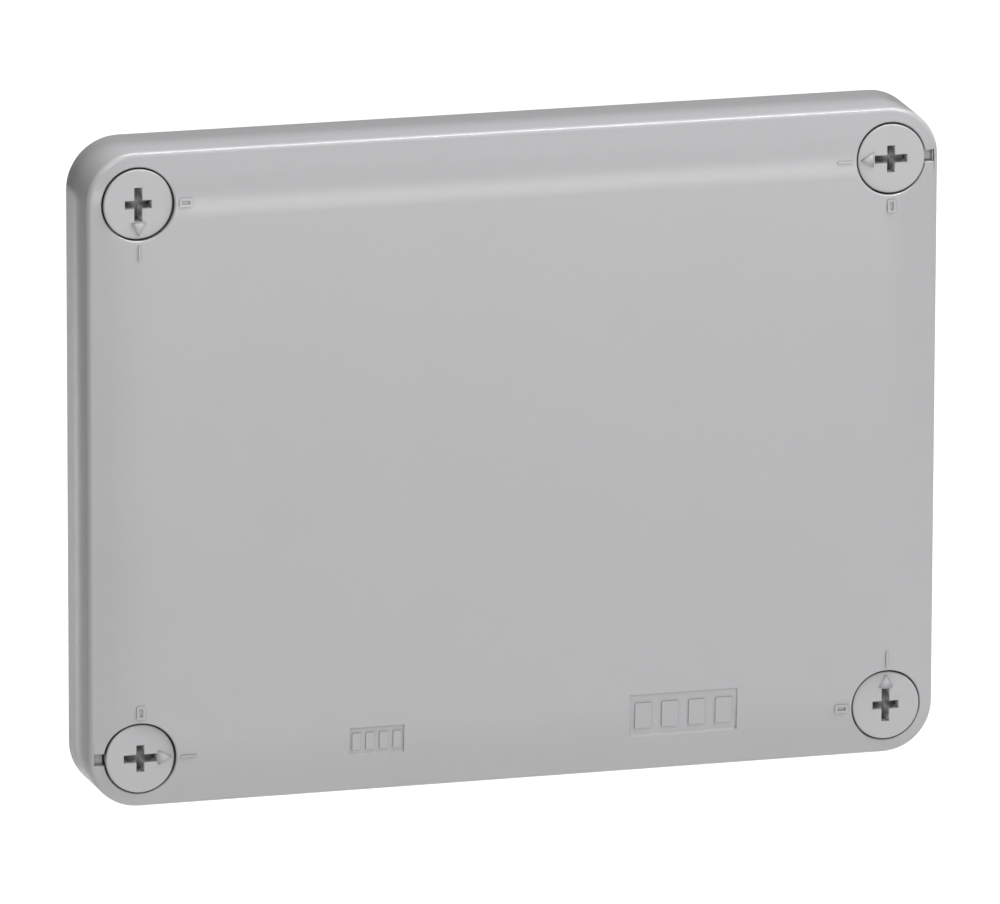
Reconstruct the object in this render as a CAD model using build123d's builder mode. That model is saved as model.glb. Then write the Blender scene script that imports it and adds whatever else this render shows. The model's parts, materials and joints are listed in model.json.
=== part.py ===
from build123d import *
import os
from math import cos, radians, sin

os.makedirs("parts", exist_ok=True)

# A wall-mounted junction box with an overlapping lid held by four quarter-turn screws.
# +Z is up and the lid faces -Y. The origin is the centre of the back face, on the wall.
# "Height" means distance in front of the wall. Plane.XZ.offset(height) is parallel to the
# wall at that height, and its normal points away from the wall.

# Driving dimensions, in millimetres.
box_depth = 70.0            # wall to the crown of the lid
wall = 3.0
overcut = 1.0               # how far a cut runs past the face it starts from
slip = 0.1                  # gap between pieces that are fitted by hand
snug = 0.05                 # gap between pieces that touch

# Lid: a shallow shell with a crowned rim.
lid_width = 222.0
lid_height = 169.0
lid_depth = 22.0
lid_corner_r = 13.3
lid_draft_deg = 1.3
lid_back = box_depth - lid_depth
edge_fillet = 1.0
rim_flat = 5.5              # straight slope at the edge
rim_curve = 12.0            # curve between the slope and the flat centre
rim_slope_deg = 12.0
rim_curve_r = rim_curve / sin(radians(rim_slope_deg))
lid_floor_rim = 65.2        # inside face under the rim
lid_floor_centre = 67.0     # inside face under the flat centre
lid_floor_step = 20.0       # inset at which the inside face steps
lid_floor_corner_r = 20.0
inner_corner_r = 3.0
rib_thick = 1.2
rib_height = 2.6

# Quarter-turn screws at the lid's corners.
screw_inset = 13.3
screw_x = lid_width / 2 - screw_inset
screw_z = lid_height / 2 - screw_inset
corners = {
    "top_left": (-screw_x, screw_z, -90),
    "top_right": (screw_x, screw_z, 180),
    "bottom_right": (screw_x, -screw_z, 90),
    "bottom_left": (-screw_x, -screw_z, 0),
}                           # x, z and the way that the arrow points when closed
counterbore_r = 9.2
counterbore_floor = 63.6
boss_r = 11.5
boss_back = 61.2
screw_bore_r = 4.08
head_r = 8.8
head_front = 69.1
head_back = 65.1
head_chamfer = 0.35
shaft_r = 4.0
shaft_end = 41.0
lug_r = 5.3
lug_back = 47.0
lug_front = 50.0
lug_width = 5.6
recess_long = 8.6
recess_short = 6.9
recess_width = 2.1
recess_deep = 3.8
arrow_base = 3.8
arrow_length = 3.4
arrow_tip = 8.0
arrow_raise = 0.25
clip_groove_r = 3.2
clip_r = 6.3
clip_back = 60.0
clip_thick = 0.7
clip_mouth = 3.6
clip_lobe_r = 0.9
clip_lobe_at = 5.7
seal_in_r = 4.3
seal_out_r = 6.5
seal_round = 0.5
shaft_chamfer = 0.8
recess_taper_deg = 8.0
claw_out = 5.9
claw_in = 5.4
claw_barb_in = 4.15
claw_barb_back = 50.2
claw_barb_front = 51.0
claw_front = 53.5
claw_gauge = 0.5
claw_wide = 3.2

# Marks beside each screw, and the two blank panels near the lower edge.
mark_near = 10.3
mark_far = 14.3
mark_wide = 0.6
mark_foot = 69.4
mark_front = box_depth
zero_far = 13.7
zero_wide = 2.4
notch_wide = 3.0
notch_deep = 2.2            # length of the deep part, outside the counterbore
notch_floor = 66.2
notch_shelf = 67.3
notch_rim = 0.9             # what is left of the lid outside the notch's shallow part
panels = [(-36.5, -70.7, 14.2, 7.4), (43.9, -69.2, 28.3, 11.1)]
panel_front = 69.5
panel_normal = (0, -cos(radians(3.6)), -sin(radians(3.6)))
panel_bars = 4
panel_bar_fill = 0.6
panel_bar_raise = 0.25
stiffener_pitch = 45.0
stiffener_deep = 2.0

# Tub of the base, its flange inside the lid's skirt, and the posts under the screws.
tub_width = 192.0
tub_height = 139.0
tub_corner_r = 24.0
tub_rim = 61.5
floor_thick = 3.0
flange_gap = 0.4
flange_thick = 3.0
post_r = 8.0
post_bore_r = 6.3
post_back = 37.0
post_front = 58.0
post_bottom = 39.0
web_thick = 3.0
web_length = 14.0
back_recess = 1.0
back_rim = 9.0
back_chamfer = 0.8
knockout_r = 10.2
knockout_groove = 0.6
knockout_pitch = 50.0

# Gasket in the lid, pressed by the tub's rim.
gasket_wide = 4.0
gasket_inset = (wall - gasket_wide) / 2
gasket_back = 61.6
gasket_lip = 0.9
gasket_groove = 0.6

# Wall fixing slots and the standoffs for a plate.
fixing_x = 156.0
fixing_z = 98.0
fixing_slot = 9.0
fixing_wide = 5.0
fixing_boss_r = 8.0
fixing_boss_top = 6.0
fixing_pad = 2.0            # how far the pad on the back reaches past the boss
standoff_x = 120.0
standoff_z = 84.0
standoff_r = 3.5
standoff_hole_r = 1.4
blind_bottom = 4.0          # bottom of the screw holes in the standoffs

# Cable entries in the side walls, each closed by a stepped membrane grommet.
entry_height = 26.0
entry_r = 12.7
entries_left_right = [28.0, -28.0]
entries_top_bottom = [-50.0, 0.0, 50.0]
grommet_steps = [(4.0, 5.5), (6.8, 3.9), (10.2, 2.3)]     # radius and how far it stands out
grommet_draft = 0.6         # how much wider each step is at its foot
grommet_skin = 1.2
grommet_tip_skin = 0.7
grommet_lip = 1.6
grommet_flange_r = 14.8
grommet_inner_r = 13.9
grommet_inner_lip = 1.6

# DIN rail on two standoffs, along X.
rail_length = 150.0
rail_wide = 35.0
rail_inner = 27.0
rail_base = 9.0
rail_deep = 7.5
rail_gauge = 1.0
rail_slot_pitch = 25.0
rail_slot_long = 15.0
rail_slot_wide = 6.2
rail_screw_x = 62.5
rail_screw_r = 1.9
rail_screw_end = 4.5
rail_screw_head_r = 3.9
rail_screw_head = 2.4
rail_screw_round = 0.8
rail_screw_slot = 0.9
rail_screw_slot_long = 4.3
rail_boss_r = 5.0

# Terminal blocks on the rail.
terminal_wide = 8.0
terminal_pitch = 8.1
terminal_count = 3
terminal_half = 25.0
terminal_front = 47.5
terminal_back = 12.6
foot_gap = 0.3
clamp_z = 14.0
bar_height = 32.5
bar_thick = 1.0
bar_wide = 3.6
bar_half = 19.0
cage_back = 26.2
cage_front = 35.5
cage_wide = 6.0
cage_long = 6.6
cage_travel = 4.9
chamber_gap = 0.3
clamp_head_r = 2.4
clamp_head_back = 41.6
clamp_head_front = 44.1
clamp_shank_r = 1.45
wire_r = 1.8
wire_height = 30.0
wire_funnel = 0.9
wire_funnel_deep = 1.25
wire_funnel_deg = 35.0
clamp_slot = 0.8
clamp_slot_deep = 1.1
clamp_chamfer = 0.25
cage_floor = 1.0
cage_wall = 0.8
cage_window = 6.8
cage_round = 0.5
block_shoulder = 4.0
block_skirt = 4.0
foot_thick = 1.8
foot_hook = 1.2
tag_wide = 5.2
tag_long = 9.0
tag_deep = 1.6
tag_proud = 0.4
stop_wide = 7.0
stop_half = 21.5
stop_front = 34.0
plate_thick = 1.5
block_round = 1.0


def finish(piece, node):
    """Label a finished piece and write it under its node's name."""
    piece.part.label = node
    export_step(piece.part, f"parts/{node}.step")


def at_height(height):
    """The plane parallel to the wall at this height, facing away from the wall."""
    return Plane.XZ.offset(height)


def arrow_plane(x, z, height, angle):
    """The plane at a screw whose local X points the way the screw's arrow does."""
    x_dir = (cos(radians(angle)), 0, sin(radians(angle)))
    return Plane(origin=(x, -height, z), x_dir=x_dir, z_dir=(0, -1, 0))


# Section planes whose local Y is height: across the box, and up the box.
across = Plane(origin=(0, 0, 0), x_dir=(1, 0, 0), z_dir=(0, 0, -1))
upright = Plane(origin=(0, 0, 0), x_dir=(0, 0, 1), z_dir=(1, 0, 0))


def crown_section(plane, half_size):
    """Section of the lid's crown: flat centre, curved shoulder, straight slope to the edge."""
    shoulder = half_size - rim_flat - rim_curve
    bend = radians(rim_slope_deg)
    slope_start = box_depth - rim_curve_r * (1 - cos(bend))
    middle_x = shoulder + rim_curve_r * sin(bend / 2)
    middle_y = box_depth - rim_curve_r * (1 - cos(bend / 2))
    overrun = 4.0
    foot_x = half_size + overrun
    foot_y = lid_back - overrun
    slope_end = slope_start - (rim_flat + overrun) * sin(bend) / cos(bend)
    with BuildSketch(plane) as section:
        with BuildLine():
            Line((-shoulder, box_depth), (shoulder, box_depth))
            for side in (-1, 1):
                shoulder_end = (side * (half_size - rim_flat), slope_start)
                ThreePointArc((side * shoulder, box_depth), (side * middle_x, middle_y), shoulder_end)
                Line(shoulder_end, (side * foot_x, slope_end))
                Line((side * foot_x, slope_end), (side * foot_x, foot_y))
            Line((-foot_x, foot_y), (foot_x, foot_y))
        make_face()
    return section.sketch


def tub_outline(inset, mode=Mode.ADD):
    """Rounded rectangle of the tub's outside, moved inwards by inset."""
    RectangleRounded(tub_width - 2 * inset, tub_height - 2 * inset, tub_corner_r - inset, mode=mode)


def tub_ring(inset, thick):
    """Band that follows the tub's outline, thick wide, its outer side inset from the outline."""
    tub_outline(inset)
    tub_outline(inset + thick, mode=Mode.SUBTRACT)


def lid_outline(inset):
    """Rounded rectangle of the lid's outside at its back edge, moved inwards by inset."""
    corner = max(lid_corner_r - inset, inner_corner_r)
    RectangleRounded(lid_width - 2 * inset, lid_height - 2 * inset, corner)


# Lid -----------------------------------------------------------------------------------
with BuildPart() as lid:
    with BuildSketch(at_height(lid_back)):
        lid_outline(0)
    extrude(amount=lid_depth + overcut, taper=lid_draft_deg)
    extrude(crown_section(across, lid_width / 2), amount=lid_height, both=True, mode=Mode.INTERSECT)
    extrude(crown_section(upright, lid_height / 2), amount=lid_width, both=True, mode=Mode.INTERSECT)
    skirt_edges = lid.faces().filter_by(lambda face: abs(face.normal_at().Y) < 0.1).edges()
    crown_edges = lid.faces().filter_by(lambda face: face.normal_at().Y < -0.9).edges()
    fillet([edge for edge in crown_edges if edge in skirt_edges], radius=edge_fillet)
    # Inside: a stepped pocket, so that the skin stays about as thick under the rim.
    with BuildSketch(at_height(lid_back)):
        lid_outline(wall)
    extrude(amount=lid_floor_rim - lid_back, mode=Mode.SUBTRACT)
    with BuildSketch(at_height(lid_floor_rim)):
        RectangleRounded(lid_width - 2 * lid_floor_step, lid_height - 2 * lid_floor_step, lid_floor_corner_r)
    extrude(amount=lid_floor_centre - lid_floor_rim, mode=Mode.SUBTRACT)
    # Two ribs hold the gasket between them.
    for inset in (gasket_inset - rib_thick, gasket_inset + gasket_wide):
        with BuildSketch(at_height(lid_floor_rim - rib_height)):
            tub_ring(inset, rib_thick)
        extrude(amount=rib_height)
    # Bosses for the screws.
    with BuildSketch(at_height(boss_back)):
        with GridLocations(2 * screw_x, 2 * screw_z, 2, 2):
            Circle(boss_r)
    extrude(amount=lid_floor_rim - boss_back)
    with BuildSketch(at_height(counterbore_floor)):
        with GridLocations(2 * screw_x, 2 * screw_z, 2, 2):
            Circle(counterbore_r)
    extrude(amount=lid_depth, mode=Mode.SUBTRACT)
    with BuildSketch(at_height(boss_back)):
        with GridLocations(2 * screw_x, 2 * screw_z, 2, 2):
            Circle(screw_bore_r)
    extrude(amount=lid_depth, mode=Mode.SUBTRACT)
    # Raised marks: a bar where the arrow points when closed and a ring where it points when open.
    for x, z, angle in corners.values():
        with BuildSketch(arrow_plane(x, z, mark_foot, angle)):
            with Locations(((mark_near + mark_far) / 2, 0)):
                Rectangle(mark_far - mark_near, mark_wide)
            with Locations((0, (mark_near + zero_far) / 2)):
                SlotOverall(zero_far - mark_near, zero_wide, rotation=90)
                SlotOverall(zero_far - mark_near - 2 * mark_wide, zero_wide - 2 * mark_wide, rotation=90,
                            mode=Mode.SUBTRACT)
        extrude(amount=mark_front - mark_foot)
    # Notches for a seal wire, from two of the counterbores out towards the edge.
    for x, z, outward in ((screw_x, screw_z, 1), (-screw_x, -screw_z, -1)):
        deep_end = counterbore_r + notch_deep
        shelf_end = screw_inset - notch_rim
        with BuildSketch(at_height(notch_floor)):
            with Locations((x + outward * deep_end / 2, z)):
                Rectangle(deep_end, notch_wide)
        extrude(amount=lid_depth, mode=Mode.SUBTRACT)
        with BuildSketch(at_height(notch_shelf)):
            with Locations((x + outward * shelf_end / 2, z)):
                Rectangle(shelf_end, notch_wide)
        extrude(amount=lid_depth, mode=Mode.SUBTRACT)
    # Shallow panels with plain raised bars.
    for x, z, width, height in panels:
        tilted = Plane(origin=(x, -panel_front, z), x_dir=(1, 0, 0), z_dir=panel_normal)
        with BuildSketch(tilted):
            Rectangle(width, height)
        extrude(amount=lid_depth, mode=Mode.SUBTRACT)
        with BuildSketch(tilted):
            with GridLocations(width / panel_bars, 0, panel_bars, 1):
                Rectangle(width / panel_bars * panel_bar_fill, height * panel_bar_fill)
        extrude(amount=panel_bar_raise)
    # Ribs that stiffen the flat centre from behind.
    with BuildSketch(at_height(lid_floor_centre - stiffener_deep)):
        with GridLocations(stiffener_pitch, 0, 3, 1):
            Rectangle(rib_thick, lid_height - 2 * lid_floor_step)
    extrude(amount=stiffener_deep)
finish(lid, "lid")


# Gasket --------------------------------------------------------------------------------
with BuildPart() as lid_gasket:
    with BuildSketch(at_height(gasket_back)):
        tub_ring(gasket_inset + snug, gasket_wide - 2 * snug)
    extrude(amount=lid_floor_rim - snug - gasket_back)
    with BuildSketch(at_height(gasket_back)):
        tub_ring(gasket_inset + gasket_wide / 2 - gasket_lip, 2 * gasket_lip)
    extrude(amount=gasket_groove, mode=Mode.SUBTRACT)
finish(lid_gasket, "lid_gasket")


# Quarter-turn screws, each with its seal, its clip and the spring claw that catches it -----
def make_screw(node, x, z, angle):
    """Head with a driver recess and an arrow, over a shaft with a clip groove and two lugs."""
    with BuildPart() as screw:
        with BuildSketch(arrow_plane(x, z, head_back, angle)):
            Circle(head_r)
        extrude(amount=head_front - head_back)
        chamfer(screw.faces().sort_by(Axis.Y)[0].edges(), head_chamfer)
        with BuildSketch(arrow_plane(x, z, shaft_end, angle)):
            Circle(shaft_r)
        extrude(amount=head_back - shaft_end)
        chamfer(screw.faces().sort_by(Axis.Y)[-1].edges(), shaft_chamfer)
        with BuildSketch(arrow_plane(x, z, lug_back, angle)):
            Circle(lug_r)
            Rectangle(2 * lug_r, lug_width, mode=Mode.INTERSECT)
        extrude(amount=lug_front - lug_back)
        with BuildSketch(arrow_plane(x, z, clip_back, angle)):
            Circle(shaft_r + overcut)
            Circle(clip_groove_r, mode=Mode.SUBTRACT)
        extrude(amount=clip_thick, mode=Mode.SUBTRACT)
        with BuildSketch(arrow_plane(x, z, head_front, angle)):
            Rectangle(recess_long, recess_width)
            Rectangle(recess_width, recess_short)
        extrude(amount=-recess_deep, taper=recess_taper_deg, mode=Mode.SUBTRACT)
        with BuildSketch(arrow_plane(x, z, head_front, angle)):
            with BuildLine():
                Polyline(
                    (arrow_tip, 0),
                    (arrow_tip - arrow_length, arrow_base / 2),
                    (arrow_tip - arrow_length, -arrow_base / 2),
                    close=True,
                )
            make_face()
        extrude(amount=arrow_raise)
    finish(screw, node)


def make_seal(node, x, z, angle):
    """Rubber ring with rounded edges between the screw's head and the floor of its counterbore."""
    with BuildPart() as seal:
        with BuildSketch(arrow_plane(x, z, counterbore_floor + snug, angle)):
            Circle(seal_out_r)
            Circle(seal_in_r, mode=Mode.SUBTRACT)
        extrude(amount=head_back - counterbore_floor - 2 * snug)
        fillet(seal.edges().filter_by(GeomType.CIRCLE), radius=seal_round)
    finish(seal, node)


def make_clip(node, x, z, angle):
    """Open steel ring in the shaft's groove, which keeps the screw in the lid."""
    with BuildPart() as clip:
        with BuildSketch(arrow_plane(x, z, clip_back + snug, angle)):
            Circle(clip_r)
            Circle(clip_groove_r + snug, mode=Mode.SUBTRACT)
            with Locations((0, clip_r)):
                Rectangle(clip_mouth, 2 * clip_r, mode=Mode.SUBTRACT)
            with PolarLocations(clip_lobe_at, 3, start_angle=-90):
                Circle(clip_lobe_r, mode=Mode.SUBTRACT)
        extrude(amount=clip_thick - 2 * snug)
    finish(clip, node)


def make_claw(node, x, z, angle):
    """U-shaped spring in the post. Its two barbs stand in front of the lugs when closed."""
    with BuildPart() as claw:
        section = Plane(
            origin=(x, 0, z),
            x_dir=(cos(radians(angle)), 0, sin(radians(angle))),
            z_dir=(sin(radians(angle)), 0, -cos(radians(angle))),
        )
        with BuildSketch(section):
            with BuildLine():
                Polyline(
                    (-claw_out, post_bottom),
                    (claw_out, post_bottom),
                    (claw_out, claw_front),
                    (claw_barb_in, claw_barb_front),
                    (claw_barb_in, claw_barb_back),
                    (claw_in, claw_barb_back),
                    (claw_in, post_bottom + claw_gauge),
                    (-claw_in, post_bottom + claw_gauge),
                    (-claw_in, claw_barb_back),
                    (-claw_barb_in, claw_barb_back),
                    (-claw_barb_in, claw_barb_front),
                    (-claw_out, claw_front),
                    close=True,
                )
            make_face()
        extrude(amount=claw_wide / 2, both=True)
    finish(claw, node)


for corner, (corner_x, corner_z, corner_angle) in corners.items():
    make_screw(f"lid_screw_{corner}", corner_x, corner_z, corner_angle)
    make_seal(f"screw_seal_{corner}", corner_x, corner_z, corner_angle)
    make_clip(f"screw_clip_{corner}", corner_x, corner_z, corner_angle)
    make_claw(f"lock_claw_{corner}", corner_x, corner_z, corner_angle)


# Base ----------------------------------------------------------------------------------
entries = {}
for number, entry_z in enumerate(entries_left_right, start=1):
    entries[f"left_{number}"] = ((-tub_width / 2, -entry_height, entry_z), (-1, 0, 0))
    entries[f"right_{number}"] = ((tub_width / 2, -entry_height, entry_z), (1, 0, 0))
for number, entry_x in enumerate(entries_top_bottom, start=1):
    entries[f"top_{number}"] = ((entry_x, -entry_height, tub_height / 2), (0, 0, 1))
    entries[f"bottom_{number}"] = ((entry_x, -entry_height, -tub_height / 2), (0, 0, -1))

with BuildPart() as base:
    with BuildSketch(at_height(0)):
        tub_outline(0)
    extrude(amount=tub_rim)
    with BuildSketch(at_height(lid_back)):
        lid_outline(wall + flange_gap)
    extrude(amount=flange_thick)
    # Posts for the screws' shafts, tied to the tub by webs.
    with BuildSketch(at_height(post_back)):
        with GridLocations(2 * screw_x, 2 * screw_z, 2, 2):
            Circle(post_r)
    extrude(amount=post_front - post_back)
    with BuildSketch(at_height(post_back)):
        for x, z, _ in corners.values():
            web_angle = 45 if x * z > 0 else -45
            middle_x = x - (web_length / 2) * cos(radians(45)) * (1 if x > 0 else -1)
            middle_z = z - (web_length / 2) * sin(radians(45)) * (1 if z > 0 else -1)
            with Locations((middle_x, middle_z)):
                Rectangle(web_length, web_thick, rotation=web_angle)
    extrude(amount=post_front - post_back)
    # The tub's inside, then the shafts' bores.
    with BuildSketch(at_height(floor_thick)):
        tub_outline(wall)
    extrude(amount=box_depth, mode=Mode.SUBTRACT)
    with BuildSketch(at_height(post_bottom)):
        with GridLocations(2 * screw_x, 2 * screw_z, 2, 2):
            Circle(post_bore_r)
    extrude(amount=box_depth, mode=Mode.SUBTRACT)
    chamfer(base.faces().sort_by(Axis.Y)[-1].outer_wire().edges(), back_chamfer)
    # The back is recessed inside a rim, with pads at the fixing slots.
    with BuildSketch(at_height(0)):
        tub_outline(back_rim)
        with GridLocations(fixing_x, fixing_z, 2, 2):
            Circle(fixing_boss_r + fixing_pad, mode=Mode.SUBTRACT)
    extrude(amount=back_recess, mode=Mode.SUBTRACT)
    # Rings that mark knock-outs in the back.
    with BuildSketch(at_height(back_recess)):
        with GridLocations(knockout_pitch, 0, 3, 1):
            Circle(knockout_r)
            Circle(knockout_r - knockout_groove, mode=Mode.SUBTRACT)
    extrude(amount=knockout_groove, mode=Mode.SUBTRACT)
    # Inside: bosses at the fixing slots, plate standoffs and rail standoffs.
    with BuildSketch(at_height(floor_thick)):
        with GridLocations(fixing_x, fixing_z, 2, 2):
            Circle(fixing_boss_r)
    extrude(amount=fixing_boss_top - floor_thick)
    with BuildSketch(at_height(floor_thick)):
        with GridLocations(standoff_x, standoff_z, 2, 2):
            Circle(standoff_r)
        with GridLocations(2 * rail_screw_x, 0, 2, 1):
            Circle(rail_boss_r)
    extrude(amount=rail_base - floor_thick)
    with BuildSketch(at_height(0)):
        with GridLocations(fixing_x, fixing_z, 2, 2):
            SlotOverall(fixing_slot, fixing_wide)
    extrude(amount=fixing_boss_top, mode=Mode.SUBTRACT)
    with BuildSketch(at_height(blind_bottom)):
        with GridLocations(standoff_x, standoff_z, 2, 2):
            Circle(standoff_hole_r)
        with GridLocations(2 * rail_screw_x, 0, 2, 1):
            Circle(rail_screw_r + slip)
    extrude(amount=rail_base, mode=Mode.SUBTRACT)
    # Round cable entries through the side walls.
    for centre, outward in entries.values():
        with BuildSketch(Plane(origin=centre, z_dir=outward).offset(overcut)):
            Circle(entry_r)
        extrude(amount=-wall - 2 * overcut, mode=Mode.SUBTRACT)
finish(base, "base")


# Cable grommets ------------------------------------------------------------------------
def make_grommet(node, centre, outward):
    """Stepped rubber cone with a thin tip, held in the wall by a groove round its neck."""
    section = Plane(origin=centre, x_dir=(0, -1, 0), z_dir=Vector(0, -1, 0).cross(Vector(outward)))
    neck = entry_r - slip
    (tip_r, tip), (middle_r, middle), (foot_r, foot) = grommet_steps
    with BuildPart() as grommet:
        with BuildSketch(section):
            with BuildLine():
                Polyline(
                    (0, tip),
                    (tip_r, tip),
                    (tip_r + grommet_draft, middle),
                    (middle_r, middle),
                    (middle_r + grommet_draft, foot),
                    (foot_r, foot),
                    (foot_r + grommet_draft, grommet_lip),
                    (grommet_flange_r, grommet_lip),
                    (grommet_flange_r, snug),
                    (neck, snug),
                    (neck, -wall - snug),
                    (grommet_inner_r, -wall - snug),
                    (neck, -wall - grommet_inner_lip),
                    (foot_r - grommet_skin + grommet_draft, -wall - grommet_inner_lip),
                    (foot_r - grommet_skin, foot - grommet_skin),
                    (middle_r + grommet_draft - grommet_skin, foot - grommet_skin),
                    (middle_r - grommet_skin, middle - grommet_skin),
                    (tip_r + grommet_draft - grommet_skin, middle - grommet_skin),
                    (tip_r - grommet_tip_skin, tip - grommet_tip_skin),
                    (0, tip - grommet_tip_skin),
                    close=True,
                )
            make_face()
        revolve(axis=Axis(centre, outward))
    finish(grommet, node)


for entry, (entry_centre, entry_outward) in entries.items():
    make_grommet(f"cable_grommet_{entry}", entry_centre, entry_outward)


# DIN rail and its screws ----------------------------------------------------------------
rail_front = rail_base + rail_deep
with BuildPart() as din_rail:
    with BuildSketch(upright):
        with BuildLine():
            Polyline(
                (-rail_wide / 2, rail_front),
                (-rail_inner / 2, rail_front),
                (-rail_inner / 2, rail_base + rail_gauge),
                (rail_inner / 2, rail_base + rail_gauge),
                (rail_inner / 2, rail_front),
                (rail_wide / 2, rail_front),
                (rail_wide / 2, rail_front - rail_gauge),
                (rail_inner / 2 + rail_gauge, rail_front - rail_gauge),
                (rail_inner / 2 + rail_gauge, rail_base),
                (-rail_inner / 2 - rail_gauge, rail_base),
                (-rail_inner / 2 - rail_gauge, rail_front - rail_gauge),
                (-rail_wide / 2, rail_front - rail_gauge),
                close=True,
            )
        make_face()
    extrude(amount=rail_length / 2, both=True)
    with BuildSketch(at_height(rail_base)):
        with GridLocations(rail_slot_pitch, 0, 6, 1):
            SlotOverall(rail_slot_long, rail_slot_wide)
    extrude(amount=rail_gauge, mode=Mode.SUBTRACT)
finish(din_rail, "din_rail")

with BuildPart() as rail_screws:
    with BuildSketch(at_height(rail_screw_end)):
        with GridLocations(2 * rail_screw_x, 0, 2, 1):
            Circle(rail_screw_r)
    extrude(amount=rail_base + rail_gauge - rail_screw_end)
    with BuildSketch(at_height(rail_base + rail_gauge)):
        with GridLocations(2 * rail_screw_x, 0, 2, 1):
            Circle(rail_screw_head_r)
    extrude(amount=rail_screw_head)
    fillet(rail_screws.faces().sort_by(Axis.Y)[:2].edges(), radius=rail_screw_round)
    with BuildSketch(at_height(rail_base + rail_gauge + rail_screw_head)):
        with GridLocations(2 * rail_screw_x, 0, 2, 1):
            Rectangle(rail_screw_slot_long, rail_screw_slot)
            Rectangle(rail_screw_slot, rail_screw_slot_long)
    extrude(amount=-rail_screw_head / 2, mode=Mode.SUBTRACT)
finish(rail_screws, "rail_screws")


# Terminal blocks -------------------------------------------------------------------------
def rail_clip_outline(half_long, front):
    """Outline, seen along the rail, of a block whose feet hook behind the rail's edges."""
    hook_out = rail_wide / 2 + foot_gap
    hook_back = rail_front - rail_gauge - foot_gap
    with BuildLine() as outline:
        Polyline(
            (-half_long, front - block_shoulder),
            (-half_long + block_shoulder, front),
            (half_long - block_shoulder, front),
            (half_long, front - block_shoulder),
            (half_long, rail_front + block_skirt),
            (hook_out + foot_thick, rail_front + block_skirt),
            (hook_out + foot_thick, terminal_back),
            (hook_out - foot_hook, terminal_back),
            (hook_out - foot_hook, hook_back),
            (hook_out, hook_back),
            (hook_out, rail_front + foot_gap),
            (-hook_out, rail_front + foot_gap),
            (-hook_out, hook_back),
            (-hook_out + foot_hook, hook_back),
            (-hook_out + foot_hook, terminal_back),
            (-hook_out - foot_thick, terminal_back),
            (-hook_out - foot_thick, rail_front + block_skirt),
            (-half_long, rail_front + block_skirt),
            close=True,
        )
    return outline.line


def make_housing(node, x):
    """Moulded block with two clamp chambers, two screw wells, two wire entries and a bar slot."""
    with BuildPart() as housing:
        with BuildSketch(upright.offset(x)):
            make_face(rail_clip_outline(terminal_half, terminal_front).edges())
        extrude(amount=terminal_wide / 2, both=True)
        for z in (-clamp_z, clamp_z):
            side = 1 if z > 0 else -1
            chamber_deep = cage_front + cage_travel + chamber_gap - cage_back + chamber_gap
            with BuildSketch(at_height(cage_back - chamber_gap)):
                with Locations((x, z)):
                    Rectangle(cage_wide + 2 * chamber_gap, cage_long + 2 * chamber_gap)
            extrude(amount=chamber_deep, mode=Mode.SUBTRACT)
            with BuildSketch(at_height(cage_back)):
                with Locations((x, z)):
                    Circle(clamp_shank_r + chamber_gap)
            extrude(amount=clamp_head_back - cage_back, mode=Mode.SUBTRACT)
            with BuildSketch(at_height(clamp_head_back - slip)):
                with Locations((x, z)):
                    Circle(clamp_head_r + chamber_gap)
            extrude(amount=terminal_front, mode=Mode.SUBTRACT)
            with BuildSketch(Plane(origin=(x, -wire_height, z), z_dir=(0, 0, side))):
                Circle(wire_r)
            extrude(amount=terminal_half, mode=Mode.SUBTRACT)
            with BuildSketch(Plane(origin=(x, -wire_height, side * terminal_half), z_dir=(0, 0, -side))):
                Circle(wire_r + wire_funnel)
            extrude(amount=wire_funnel_deep, taper=wire_funnel_deg, mode=Mode.SUBTRACT)
        with BuildSketch(at_height(bar_height - slip)):
            with Locations((x, 0)):
                Rectangle(bar_wide + 2 * slip, 2 * (bar_half + slip))
        extrude(amount=bar_thick + 2 * slip, mode=Mode.SUBTRACT)
        with BuildSketch(at_height(terminal_front)):
            with Locations((x, 0)):
                Rectangle(tag_wide + 2 * slip, tag_long + 2 * slip)
        extrude(amount=-tag_deep, mode=Mode.SUBTRACT)
    finish(housing, node)


def make_bar(node, x):
    """Brass strip that joins the two clamps."""
    with BuildPart() as bar:
        with BuildSketch(at_height(bar_height)):
            with Locations((x, 0)):
                Rectangle(bar_wide, 2 * bar_half)
        extrude(amount=bar_thick)
    finish(bar, node)


def make_clamp_screw(node, x, z):
    """Slotted cheese-head screw that bears on the bar and lifts the cage."""
    with BuildPart() as screw:
        with BuildSketch(at_height(bar_height + bar_thick + slip)):
            with Locations((x, z)):
                Circle(clamp_shank_r)
        extrude(amount=clamp_head_back - bar_height - bar_thick - slip)
        with BuildSketch(at_height(clamp_head_back)):
            with Locations((x, z)):
                Circle(clamp_head_r)
        extrude(amount=clamp_head_front - clamp_head_back)
        chamfer(screw.faces().sort_by(Axis.Y)[0].edges(), clamp_chamfer)
        with BuildSketch(at_height(clamp_head_front)):
            with Locations((x, z)):
                Rectangle(2 * clamp_head_r + overcut, clamp_slot)
        extrude(amount=-clamp_slot_deep, mode=Mode.SUBTRACT)
    finish(screw, node)


def make_cage(node, x, z):
    """Steel cage round the end of the bar. It rises and grips the wire against the bar."""
    with BuildPart() as cage:
        with BuildSketch(at_height(cage_back)):
            with Locations((x, z)):
                Rectangle(cage_wide, cage_long)
        extrude(amount=cage_front - cage_back)
        fillet(cage.edges().filter_by(Axis.Z), radius=cage_round)
        with BuildSketch(at_height(cage_back + cage_floor)):
            with Locations((x, z)):
                Rectangle(cage_wide - 2 * cage_wall, cage_long)
        extrude(amount=cage_window, mode=Mode.SUBTRACT)
        with BuildSketch(at_height(cage_back + cage_floor)):
            with Locations((x, z)):
                Circle(clamp_shank_r + chamber_gap)
        extrude(amount=cage_front, mode=Mode.SUBTRACT)
    finish(cage, node)


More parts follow.
